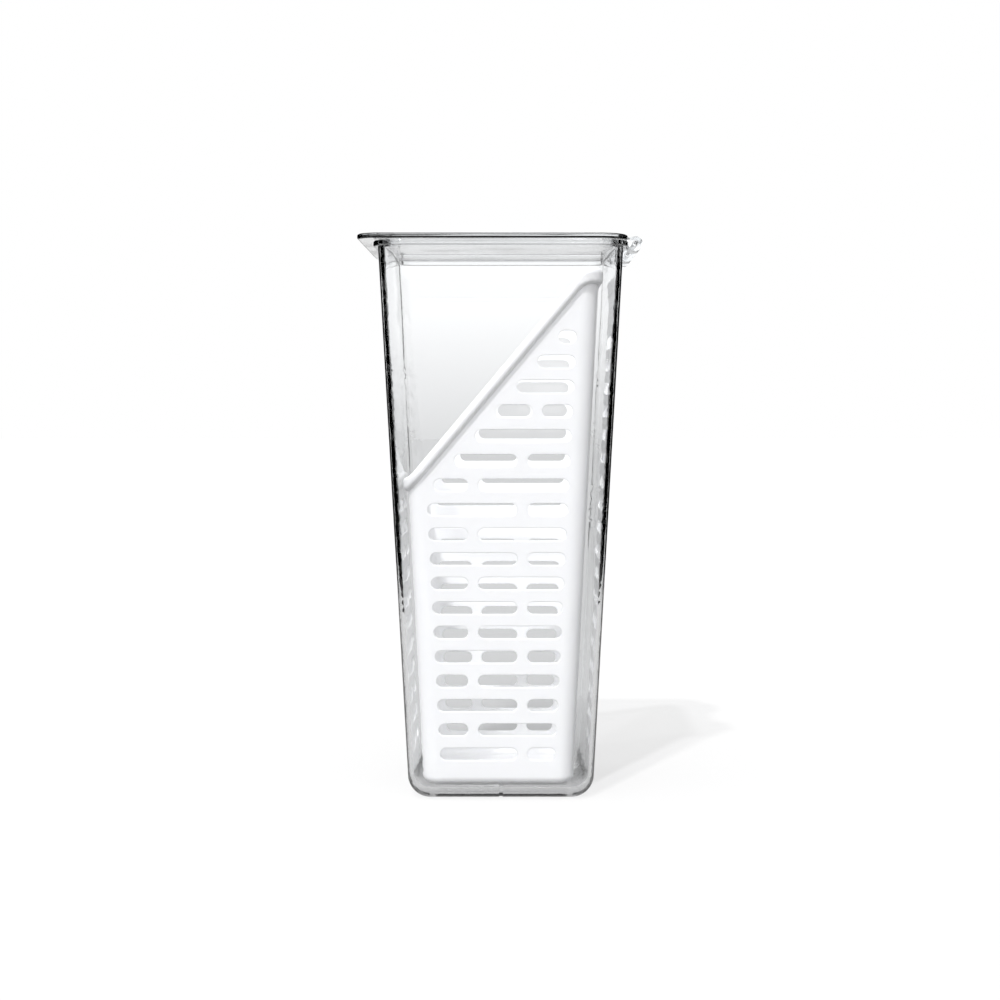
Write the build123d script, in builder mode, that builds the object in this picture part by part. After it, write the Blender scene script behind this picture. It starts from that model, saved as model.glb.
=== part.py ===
from build123d import *
from math import atan, degrees
import os

# Clear fridge bin with a hinged lid, and a white, slotted, slant-topped basket that stands inside it.
# Millimetres. X runs from the lid's lip (-X) to its hinge (+X), Y is the depth and Z is up.
# The origin is the centre of the bin's underside, on the surface that it stands on.

# Overall
height = 240.0
reach = 60.4  # from the middle to the lip's tip and to the hinge barrel's far side

# Bin
wall = 2.2
base_half = 39.5  # half the width that the walls would have at z = 0
draft = 0.0528  # how far a wall leans out, for each unit of height
corner_radius = 10.0
heel_radius = 9.5
floor_top = 3.4
floor_corner_radius = 7.3
foot_height = 1.2
foot_inner_half = 28.6
foot_inner_radius = 3.0
notch_width = 1.6

# Rim flange
rim_top = 237.5
rim_thickness = 2.4
rim_half = 53.9
rim_corner_radius = 12.7
rim_edge_radius = 0.7

# Lid
lid_gap = 0.3
lid_thickness = height - rim_top - lid_gap
lid_half_depth = 53.9
lid_hinge_edge = 53.8
lip_corner_radius = 9.0
lid_edge_radius = 0.8
skirt_depth = 3.0
skirt_thickness = 1.5
skirt_clearance = 0.5

# Hinge
barrel_radius = 3.0
axis_x = reach - barrel_radius
axis_z = height - barrel_radius
ear_width = 4.0
knuckle_width = 14.6
side_gap = 0.2
hinge_middle = 26.5  # from the middle of the bin to the middle of each hinge, along Y
pin_radius = 1.25
pin_press = 0.01
pin_clearance = 0.05
pin_recess = 0.3
dimple_radius = 0.6
dimple_depth = 0.5
gusset_bottom = 229.0
gusset_top = 232.0
gusset_reach = 54.6
gusset_root = 50.5  # inside the bin's wall

# Basket
basket_x = -1.3
basket_wall = 1.5
basket_floor = 2.0
basket_underside = floor_top + lid_gap
basket_half = 32.07  # half the width that the walls would have at z = 0
basket_draft = 0.049
basket_corner_radius = 7.0
basket_heel_radius = 5.0
high_edge = 226.2
low_edge = 136.7
slope = 1.185
slope_x, slope_z = 2.9, 187.3  # a point that the slanted edge passes through
crest_radius = 8.0
dip_radius = 9.0
lip_height = 6.6
lip_proud = 2.2
lip_radius = 1.9  # of the lip's rounded upper and lower edges

# Basket slots
rows = 18
first_row_top = 199.8
row_pitch = 10.49
slot_height = 5.35
side_margin = 8.3
slant_margin = 13.35
divider = 4.3
divider_x = 10.5
row_4_divider_x = 16.8
undivided_rows = (1, 2, 3, 5)
first_low_wall_row = 8
drain_slots = 5
drain_pitch = 11.0
drain_length = 38.0

os.makedirs("parts", exist_ok=True)


def rising_edges(part):
    return part.edges().filter_by(lambda edge: abs(edge.tangent_at(0.5).Z) > 0.9)


def level_edges(part):
    return part.edges().filter_by(lambda edge: abs(edge.tangent_at(0.5).Z) < 0.1)


def drafted_block(half, lean, bottom, top, corner, heel):
    """A block with walls that lean out, half wide at z = 0, with rounded upright corners and base edge."""
    with BuildPart() as block:
        with BuildSketch(Plane.XY.offset(bottom)):
            width = 2 * (half + lean * bottom)
            Rectangle(width, width)
        extrude(amount=top - bottom, taper=-degrees(atan(lean)))
        fillet(rising_edges(block), corner)
        fillet(block.faces().sort_by(Axis.Z)[0].edges(), heel)
    return block.part


def rounded_plate(half, bottom, thickness, corner):
    with BuildPart() as plate:
        with BuildSketch(Plane.XY.offset(bottom)):
            RectangleRounded(2 * half, 2 * half, corner)
        extrude(amount=thickness)
    return plate.part


def hinge_spans(offset, width):
    """The (low, high) Y limits of a piece of each hinge, offset from that hinge's middle."""
    return [(side * hinge_middle + offset - width / 2, side * hinge_middle + offset + width / 2) for side in (-1, 1)]


ear_offset = (knuckle_width + ear_width) / 2 + side_gap
ear_spans = hinge_spans(-ear_offset, ear_width) + hinge_spans(ear_offset, ear_width)
knuckle_spans = hinge_spans(0, knuckle_width)
pin_span_width = 2 * (ear_offset - pin_recess) + ear_width

# The bin's body: a drafted tub with a rim flange, a foot ring with drain notches and four hinge ears.
cavity = drafted_block(base_half - wall, draft, floor_top, height, corner_radius - wall, floor_corner_radius)
shell = drafted_block(base_half, draft, 0, rim_top, corner_radius, heel_radius)
rim = rounded_plate(rim_half, rim_top - rim_thickness, rim_thickness, rim_corner_radius)

with BuildPart() as bin_body:
    add(rim)
    fillet(level_edges(bin_body), rim_edge_radius)
    add(shell)
    add(cavity, mode=Mode.SUBTRACT)
    for low, high in ear_spans:
        with BuildSketch(Plane.XZ.offset(-high)):
            with Locations((axis_x, axis_z)):
                Circle(barrel_radius)
            with BuildLine():
                Polyline(
                    (gusset_root, gusset_top),
                    (gusset_root, gusset_bottom),
                    (gusset_reach, gusset_bottom),
                )
            make_hull()
        extrude(amount=high - low)
    for low, high in ear_spans:
        with BuildSketch(Plane.XZ.offset(-high)):
            with Locations((axis_x, axis_z)):
                Circle(pin_radius - pin_press)
        extrude(amount=high - low, mode=Mode.SUBTRACT)
    with BuildSketch(Plane.XY):
        RectangleRounded(2 * foot_inner_half, 2 * foot_inner_half, foot_inner_radius)
    extrude(amount=foot_height, mode=Mode.SUBTRACT)
    with BuildSketch(Plane.XY):
        Rectangle(2 * base_half, notch_width)
        Rectangle(notch_width, 2 * base_half)
    extrude(amount=foot_height, mode=Mode.SUBTRACT)

# The lid: a flat plate with a finger lip along its free side, a locating skirt and two hinge knuckles.
skirt_half = base_half - wall + draft * (rim_top - skirt_depth) - skirt_clearance
lid_underside = height - lid_thickness

with BuildPart() as lid:
    with BuildSketch(Plane.XY.offset(lid_underside)) as plan:
        with Locations(((lid_hinge_edge - reach) / 2, 0)):
            Rectangle(reach + lid_hinge_edge, 2 * lid_half_depth)
        fillet(plan.vertices().group_by(Axis.X)[0], lip_corner_radius)
        fillet(plan.vertices().group_by(Axis.X)[-1], rim_corner_radius)
    extrude(amount=lid_thickness)
    fillet(level_edges(lid), lid_edge_radius)
    with BuildSketch(Plane.XY.offset(lid_underside - skirt_depth)):
        RectangleRounded(2 * skirt_half, 2 * skirt_half, corner_radius - wall)
        inner = 2 * (skirt_half - skirt_thickness)
        RectangleRounded(inner, inner, corner_radius - wall - skirt_thickness, mode=Mode.SUBTRACT)
    extrude(amount=skirt_depth + lid_thickness / 2)
    for low, high in knuckle_spans:
        with BuildSketch(Plane.XZ.offset(-high)):
            with Locations((axis_x, axis_z)):
                Circle(barrel_radius)
            arm = axis_x - lid_hinge_edge + 2 * lid_edge_radius
            with Locations((axis_x - arm / 2, height - lid_thickness / 2)):
                Rectangle(arm, lid_thickness)
        extrude(amount=high - low)
    for low, high in knuckle_spans:
        with BuildSketch(Plane.XZ.offset(-high)):
            with Locations((axis_x, axis_z)):
                Circle(pin_radius + pin_clearance)
        extrude(amount=high - low, mode=Mode.SUBTRACT)


def hinge_pin(side):
    """A pin pressed through a hinge's two ears, with a small dimple in each end."""
    with BuildPart() as pin:
        with BuildSketch(Plane.XZ.offset(-(side * hinge_middle + pin_span_width / 2))):
            with Locations((axis_x, axis_z)):
                Circle(pin_radius)
        extrude(amount=pin_span_width)
        with Locations(*[Plane(face) for face in pin.faces().filter_by(Axis.Y)]):
            CounterSinkHole(dimple_radius / 4, dimple_radius, depth=dimple_depth)
    return pin


front_pin = hinge_pin(-1)
rear_pin = hinge_pin(1)

# The basket: a drafted tub cut off at a slant, with a lip along its edge and rows of slots in its walls.
slant_low_x = slope_x + (low_edge - slope_z) / slope
slant_high_x = slope_x + (high_edge - slope_z) / slope


def below_edge(drop):
    """Everything below the basket's edge, lowered by drop."""
    with BuildPart() as prism:
        with BuildSketch(Plane.XZ.offset(-height / 2)) as outline:
            Polygon(
                (-height, 0),
                (height, 0),
                (height, high_edge - drop),
                (slant_high_x, high_edge - drop),
                (slant_low_x, low_edge - drop),
                (-height, low_edge - drop),
                align=None,
            )
            bends = outline.vertices().filter_by(lambda v: abs(v.X) < reach).sort_by(Axis.X)
            fillet(bends[0], dip_radius)
            bends = outline.vertices().filter_by(lambda v: abs(v.X - slant_high_x) < 0.1)
            fillet(bends[0], crest_radius)
        extrude(amount=height)
    return prism.part


def basket_block(grow, bottom, heel):
    block = drafted_block(basket_half + grow, basket_draft, bottom, height, basket_corner_radius + grow, heel)
    return Location((basket_x, 0, 0)) * block


def lip_edges(part):
    """The edges along the top and the bottom of a slab's walls."""
    walls = part.faces().filter_by(lambda face: abs(face.normal_at().Z) < 0.2)
    edges = ShapeList([edge for face in walls for edge in face.edges()])
    return edges.filter_by(lambda edge: abs(edge.tangent_at(0.5).Z) < 0.9)


def row_centre(row):
    return first_row_top - row_pitch * (row - 1) - slot_height / 2


def slots_between(low, high, dividers):
    """The (centre, length) of each slot in a row that runs from low to high."""
    ends = [low] + [value for x in dividers for value in (x - divider / 2, x + divider / 2)] + [high]
    return [((a + b) / 2, b - a) for a, b in zip(ends[::2], ends[1::2])]


def brick_divider(row):
    return divider_x if row % 2 == 0 else -divider_x


def front_slots(row):
    half = basket_half + basket_draft * row_centre(row) - side_margin
    slanted = slope_x + (row_centre(row) - slope_z) / slope + slant_margin
    dividers = [] if row in undivided_rows else [basket_x + brick_divider(row)]
    if row == 4:
        dividers = [basket_x + row_4_divider_x]
    return slots_between(max(basket_x - half, slanted), basket_x + half, dividers)


def side_slots(row):
    half = basket_half + basket_draft * row_centre(row) - side_margin
    return slots_between(-half, half, [brick_divider(row)])


def slot_block(plane, amount, chosen_rows, slots):
    with BuildPart() as block:
        with BuildSketch(plane):
            for row in chosen_rows:
                for centre, length in slots(row):
                    with Locations((centre, row_centre(row))):
                        SlotOverall(length, slot_height)
        extrude(amount=amount)
    return block.part


with BuildPart() as basket:
    add(basket_block(lip_proud, basket_underside, basket_heel_radius))
    add(below_edge(0), mode=Mode.INTERSECT)
    add(below_edge(lip_height), mode=Mode.SUBTRACT)
    fillet(lip_edges(basket), lip_radius)
    add(basket_block(0, basket_underside, basket_heel_radius) & below_edge(0))
    add(
        basket_block(-basket_wall, basket_underside + basket_floor, basket_heel_radius - basket_wall),
        mode=Mode.SUBTRACT,
    )
    every_row = range(1, rows + 1)
    low_rows = range(first_low_wall_row, rows + 1)
    high_rows = range(1, first_low_wall_row)
    add(slot_block(Plane.XZ.offset(-reach), 2 * reach, every_row, front_slots), mode=Mode.SUBTRACT)
    add(slot_block(Plane.YZ.offset(-reach), 2 * reach, low_rows, side_slots), mode=Mode.SUBTRACT)
    add(slot_block(Plane.YZ, reach, high_rows, side_slots), mode=Mode.SUBTRACT)
    with BuildSketch(Plane.XY.offset(basket_underside)):
        with GridLocations(drain_pitch, 1, drain_slots, 1):
            with Locations((basket_x, 0)):
                SlotOverall(drain_length, slot_height, rotation=90)
    extrude(amount=basket_floor, mode=Mode.SUBTRACT)

pieces = {
    "bin_body": bin_body,
    "lid": lid,
    "basket": basket,
    "front_hinge_pin": front_pin,
    "rear_hinge_pin": rear_pin,
}
for name, piece in pieces.items():
    piece.part.label = name
    export_step(piece.part, f"parts/{name}.step")
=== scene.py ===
"""The fridge bin's looks: clear plastic tub, lid and pins, and a white satin plastic basket."""

import math

import bpy
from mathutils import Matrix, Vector

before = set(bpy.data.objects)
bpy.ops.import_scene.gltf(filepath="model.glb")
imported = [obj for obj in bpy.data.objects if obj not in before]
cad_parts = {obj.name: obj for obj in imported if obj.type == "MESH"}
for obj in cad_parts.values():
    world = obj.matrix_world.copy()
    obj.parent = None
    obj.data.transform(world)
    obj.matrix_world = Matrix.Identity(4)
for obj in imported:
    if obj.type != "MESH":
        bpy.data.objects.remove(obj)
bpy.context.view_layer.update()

MM = 0.001

# Clear plastic. A noise's scale is in cells per metre.
CLEAR_TINT = (0.985, 0.99, 0.995, 1)
CLEAR_IOR = 1.5
CLEAR_ROUGHNESS = (0.0, 0.018)
CLEAR_ROUGHNESS_SCALE = 45.0
CLEAR_WAVES_SCALE = 26.0
CLEAR_WAVES_HEIGHT = 0.25 * MM
CLEAR_WAVES_STRENGTH = 0.35
CLEAR_WAVES_STRETCH = (1, 1, 0.35)  # the waves run up the walls
CLEAR_DEPTH_TINT = (0.86, 0.885, 0.90, 1)
CLEAR_DEPTH_DENSITY = 7.0
CLEAR_FACE_PASSES = (0.86, 0.86, 0.865, 1)  # the light that one face lets through to other surfaces

# White plastic
WHITE_TONES = ((0.925, 0.928, 0.933, 1), (0.950, 0.953, 0.957, 1))
WHITE_TONE_SCALE = 38.0
WHITE_IOR = 1.46
WHITE_ROUGHNESS = (0.36, 0.50)
WHITE_ROUGHNESS_SCALE = 90.0
WHITE_ROUGHNESS_STRETCH = (1, 1, 0.4)
WHITE_SCATTER = 0.15
WHITE_SCATTER_RADIUS = (0.9, 0.9, 1.0)
WHITE_SCATTER_SCALE = 0.6 * MM
WHITE_EDGE_RADIUS = 0.6 * MM
WHITE_GRAIN_SCALE = 2600.0
WHITE_GRAIN_HEIGHT = 0.03 * MM
WHITE_GRAIN_STRENGTH = 0.5
WHITE_WALL_PASSES = 0.3  # the share of light that a thin white wall lets through

# The camera's place and lens, for a square frame on a 36 mm sensor
CAMERA_PLACE = Vector((6.4, -740.0, 167.0)) * MM
CAMERA_LENS = 59.4
CAMERA_SHIFT = (-0.0158, -0.0922)

# The studio: soft light all round, which is stronger on some sides, and a key light
SOFT_LIGHT = 0.93
SOFT_LIGHT_LEAN = (-0.30, -0.68, 0.30)  # more of it from the left, the front and the top
KEY_AZIMUTH = math.radians(21)  # to the left of the camera's line of sight
KEY_ELEVATION = math.radians(55.5)
KEY_STRENGTH = 3.5
KEY_ANGLE = math.radians(2)

# The floor: its own tone, its tone as it lights other surfaces, and the glow that makes it pale
FLOOR_HALF = 8.0
FLOOR_TONE = 0.2
FLOOR_TONE_BOUNCE = 0.14
FLOOR_GLOW = 0.62
FLOOR_GLOW_THROUGH_PLASTIC = 0.27

# The backdrop as the clear plastic shows it. It gets lighter over the first range of heights,
# and fades out overhead over the second, which draws dark lines along the level edges.
BACKDROP_LOW = 0.74
BACKDROP_HIGH = 1.08
BACKDROP_RISE = (-0.02, 0.06)
BACKDROP_FADE = (0.30, 0.60)
BACKDROP_OVERHEAD = 0.25

# Dark cards at both sides of the object, which draw dark lines along the clear plastic's edges.
# They are placed from the camera.
CARD_ASIDE = 0.42
CARD_NEAR = 0.35
CARD_FAR = 2.0
CARD_HEIGHT = 1.4

LIGHT_BOUNCES = 24  # enough to pass all the clear walls


def empty_tree(owner):
    owner.use_nodes = True
    owner.node_tree.nodes.clear()
    return owner.node_tree


def add(tree, kind, **values):
    """A node with the given inputs, by their socket names, and properties set."""
    node = tree.nodes.new(kind)
    for key, value in values.items():
        name = key.replace("_", " ")
        if name in node.inputs:
            node.inputs[name].default_value = value
        else:
            setattr(node, key, value)
    return node


def maths(tree, operation, *terms):
    """A Math node's output. A term is a number or another node's output."""
    node = tree.nodes.new("ShaderNodeMath")
    node.operation = operation
    for socket, term in zip(node.inputs, terms):
        if isinstance(term, (int, float)):
            socket.default_value = term
        else:
            tree.links.new(term, socket)
    return node.outputs[0]


def noise(tree, scale, detail=2.0, stretch=(1, 1, 1)):
    """Noise in the object's own space."""
    place = add(tree, "ShaderNodeTexCoord")
    mapping = add(tree, "ShaderNodeMapping", Scale=stretch)
    texture = add(tree, "ShaderNodeTexNoise", Scale=scale, Detail=detail)
    tree.links.new(place.outputs["Object"], mapping.inputs["Vector"])
    tree.links.new(mapping.outputs[0], texture.inputs["Vector"])
    return texture.outputs["Fac"]


def spread(tree, value, low, high, start=0.3, end=0.7):
    """The value, from start to end, spread over low to high."""
    node = add(tree, "ShaderNodeMapRange", From_Min=start, From_Max=end, To_Min=low, To_Max=high)
    tree.links.new(value, node.inputs["Value"])
    return node.outputs[0]


def bump(tree, height, distance, strength, normal=None):
    """A bumped normal, on top of the given one."""
    node = add(tree, "ShaderNodeBump", Distance=distance, Strength=strength)
    tree.links.new(height, node.inputs["Height"])
    if normal:
        tree.links.new(normal, node.inputs["Normal"])
    return node.outputs[0]


def finish_material(tree, surface, through, share):
    """Mixes the share of the see-through shader into the surface, and returns the output node."""
    mix = add(tree, "ShaderNodeMixShader")
    out = add(tree, "ShaderNodeOutputMaterial")
    tree.links.new(share, mix.inputs[0])
    tree.links.new(surface.outputs[0], mix.inputs[1])
    tree.links.new(through.outputs[0], mix.inputs[2])
    tree.links.new(mix.outputs[0], out.inputs["Surface"])
    return out


def clear_plastic(name):
    """Polished clear plastic. Light for other surfaces passes it unbent, which avoids noise."""
    material = bpy.data.materials.new(name)
    tree = empty_tree(material)
    link = tree.links.new
    plastic = add(tree, "ShaderNodeBsdfPrincipled", Base_Color=CLEAR_TINT, IOR=CLEAR_IOR,
                  Transmission_Weight=1.0)
    gloss = spread(tree, noise(tree, CLEAR_ROUGHNESS_SCALE, 4.0), *CLEAR_ROUGHNESS)
    link(gloss, plastic.inputs["Roughness"])
    waves = noise(tree, CLEAR_WAVES_SCALE, 1.0, CLEAR_WAVES_STRETCH)
    link(bump(tree, waves, CLEAR_WAVES_HEIGHT, CLEAR_WAVES_STRENGTH), plastic.inputs["Normal"])
    through = add(tree, "ShaderNodeBsdfTransparent", Color=CLEAR_FACE_PASSES)
    path = add(tree, "ShaderNodeLightPath")
    unseen = maths(tree, "MAXIMUM", path.outputs["Is Shadow Ray"], path.outputs["Is Diffuse Ray"])
    out = finish_material(tree, plastic, through, unseen)
    depth = add(tree, "ShaderNodeVolumeAbsorption", Color=CLEAR_DEPTH_TINT,
                Density=CLEAR_DEPTH_DENSITY)
    link(depth.outputs[0], out.inputs["Volume"])
    return material


def white_plastic(name):
    """Satin moulded plastic: soft edges, a fine grain, and slow changes of tone and gloss.

    A thin wall has two faces, and each lets the square root of the wall's share through.
    """
    material = bpy.data.materials.new(name)
    tree = empty_tree(material)
    link = tree.links.new
    plastic = add(tree, "ShaderNodeBsdfPrincipled", IOR=WHITE_IOR,
                  Subsurface_Weight=WHITE_SCATTER, Subsurface_Radius=WHITE_SCATTER_RADIUS,
                  Subsurface_Scale=WHITE_SCATTER_SCALE)
    tone = add(tree, "ShaderNodeMix", data_type="RGBA")
    factor, low, high = tone.inputs[0], tone.inputs[6], tone.inputs[7]
    low.default_value, high.default_value = WHITE_TONES
    link(spread(tree, noise(tree, WHITE_TONE_SCALE, 3.0), 0.0, 1.0), factor)
    link(tone.outputs[2], plastic.inputs["Base Color"])
    gloss = noise(tree, WHITE_ROUGHNESS_SCALE, 3.0, WHITE_ROUGHNESS_STRETCH)
    link(spread(tree, gloss, *WHITE_ROUGHNESS), plastic.inputs["Roughness"])
    edges = add(tree, "ShaderNodeBevel", samples=6, Radius=WHITE_EDGE_RADIUS)
    grain = bump(tree, noise(tree, WHITE_GRAIN_SCALE), WHITE_GRAIN_HEIGHT, WHITE_GRAIN_STRENGTH,
                 edges.outputs[0])
    link(grain, plastic.inputs["Normal"])
    through = add(tree, "ShaderNodeBsdfTransparent", Color=(1, 1, 1, 1))
    path = add(tree, "ShaderNodeLightPath")
    share = maths(tree, "MULTIPLY", path.outputs["Is Shadow Ray"], math.sqrt(WHITE_WALL_PASSES))
    finish_material(tree, plastic, through, share)
    return material


def wear(node, material):
    """Gives a CAD node this material in all its slots."""
    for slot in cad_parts[node].material_slots:
        slot.link = "OBJECT"
        slot.material = material


def make_world():
    """White to the camera, a grey backdrop through the plastic, and soft light for the rest."""
    world = bpy.data.worlds.new("studio")
    tree = empty_tree(world)
    towards = add(tree, "ShaderNodeTexCoord").outputs["Generated"]
    parts = add(tree, "ShaderNodeSeparateXYZ")
    tree.links.new(towards, parts.inputs[0])
    lean = add(tree, "ShaderNodeVectorMath", operation="DOT_PRODUCT")
    lean.inputs[1].default_value = SOFT_LIGHT_LEAN
    tree.links.new(towards, lean.inputs[0])
    path = add(tree, "ShaderNodeLightPath")
    soft = maths(tree, "ADD", lean.outputs["Value"], SOFT_LIGHT)
    backdrop = spread(tree, parts.outputs["Z"], BACKDROP_LOW, BACKDROP_HIGH, *BACKDROP_RISE)
    fade = spread(tree, parts.outputs["Z"], 1.0, BACKDROP_OVERHEAD, *BACKDROP_FADE)
    backdrop = maths(tree, "MULTIPLY", backdrop, fade)
    seen = path.outputs["Is Camera Ray"]
    through = path.outputs["Is Transmission Ray"]
    others = maths(tree, "SUBTRACT", maths(tree, "SUBTRACT", 1.0, seen), through)
    strength = maths(tree, "MULTIPLY_ADD", others, soft, seen)
    strength = maths(tree, "MULTIPLY_ADD", through, backdrop, strength)
    back = add(tree, "ShaderNodeBackground", Color=(1, 1, 1, 1))
    out = add(tree, "ShaderNodeOutputWorld")
    tree.links.new(strength, back.inputs["Strength"])
    tree.links.new(back.outputs[0], out.inputs["Surface"])
    bpy.context.scene.world = world


def make_floor():
    """A pale floor with a light shadow. Its tone differs through the plastic, as in the photo."""
    material = bpy.data.materials.new("studio_floor")
    tree = empty_tree(material)
    path = add(tree, "ShaderNodeLightPath")
    bounce = path.outputs["Is Diffuse Ray"]
    tone = maths(tree, "MULTIPLY_ADD", bounce, FLOOR_TONE_BOUNCE - FLOOR_TONE, FLOOR_TONE)
    glow = maths(tree, "MULTIPLY_ADD", path.outputs["Is Camera Ray"],
                 FLOOR_GLOW - FLOOR_GLOW_THROUGH_PLASTIC, FLOOR_GLOW_THROUGH_PLASTIC)
    glow = maths(tree, "MULTIPLY", glow, maths(tree, "SUBTRACT", 1.0, bounce))
    matt = add(tree, "ShaderNodeBsdfDiffuse")
    lit = add(tree, "ShaderNodeEmission", Color=(1, 1, 1, 1))
    both = add(tree, "ShaderNodeAddShader")
    out = add(tree, "ShaderNodeOutputMaterial")
    tree.links.new(tone, matt.inputs["Color"])
    tree.links.new(glow, lit.inputs["Strength"])
    tree.links.new(matt.outputs[0], both.inputs[0])
    tree.links.new(lit.outputs[0], both.inputs[1])
    tree.links.new(both.outputs[0], out.inputs["Surface"])
    bpy.ops.mesh.primitive_plane_add(size=2 * FLOOR_HALF)
    floor = bpy.context.object
    floor.name = "studio_floor"
    floor.data.materials.append(material)


def make_key_light():
    level = math.cos(KEY_ELEVATION)
    towards = Vector((-level * math.sin(KEY_AZIMUTH), -level * math.cos(KEY_AZIMUTH),
                      math.sin(KEY_ELEVATION)))
    key = bpy.data.objects.new("key_light", bpy.data.lights.new("key_light", "SUN"))
    key.data.energy = KEY_STRENGTH
    key.data.angle = KEY_ANGLE
    key.rotation_mode = "QUATERNION"
    key.rotation_quaternion = towards.to_track_quat("Z", "Y")
    bpy.context.scene.collection.objects.link(key)


def make_camera():
    camera = bpy.data.objects.new("camera", bpy.data.cameras.new("camera"))
    camera.data.lens = CAMERA_LENS
    camera.data.sensor_width = 36
    camera.data.shift_x, camera.data.shift_y = CAMERA_SHIFT
    camera.location = CAMERA_PLACE
    camera.rotation_euler = (math.radians(90), 0, 0)
    bpy.context.scene.collection.objects.link(camera)
    bpy.context.scene.camera = camera
    return camera


def make_cards(camera):
    """The dark cards, which only the clear plastic sees."""
    dark = bpy.data.materials.new("dark_card")
    tree = empty_tree(dark)
    black = add(tree, "ShaderNodeBsdfDiffuse", Color=(0, 0, 0, 1))
    out = add(tree, "ShaderNodeOutputMaterial")
    tree.links.new(black.outputs[0], out.inputs["Surface"])
    for side, name in ((-1, "left_card"), (1, "right_card")):
        mesh = bpy.data.meshes.new(name)
        x, y = side * CARD_ASIDE, CARD_HEIGHT / 2
        corners = [(x, -y, -CARD_NEAR), (x, -y, -CARD_FAR), (x, y, -CARD_FAR), (x, y, -CARD_NEAR)]
        mesh.from_pydata(corners, [], [(0, 1, 2, 3)])
        mesh.materials.append(dark)
        card = bpy.data.objects.new(name, mesh)
        bpy.context.scene.collection.objects.link(card)
        card.parent = camera
        card.visible_camera = False
        card.visible_diffuse = False
        card.visible_shadow = False


make_world()
make_floor()
make_key_light()
make_cards(make_camera())

for clear_node in ("bin_body", "lid"):
    wear(clear_node, clear_plastic(f"clear_{clear_node}_plastic"))
pin_plastic = clear_plastic("clear_pin_plastic")
for pin_node in ("front_hinge_pin", "rear_hinge_pin"):
    wear(pin_node, pin_plastic)
wear("basket", white_plastic("white_basket_plastic"))

scene = bpy.context.scene
scene.view_settings.view_transform = "Standard"
scene.cycles.max_bounces = LIGHT_BOUNCES
scene.cycles.transmission_bounces = LIGHT_BOUNCES
scene.cycles.transparent_max_bounces = LIGHT_BOUNCES
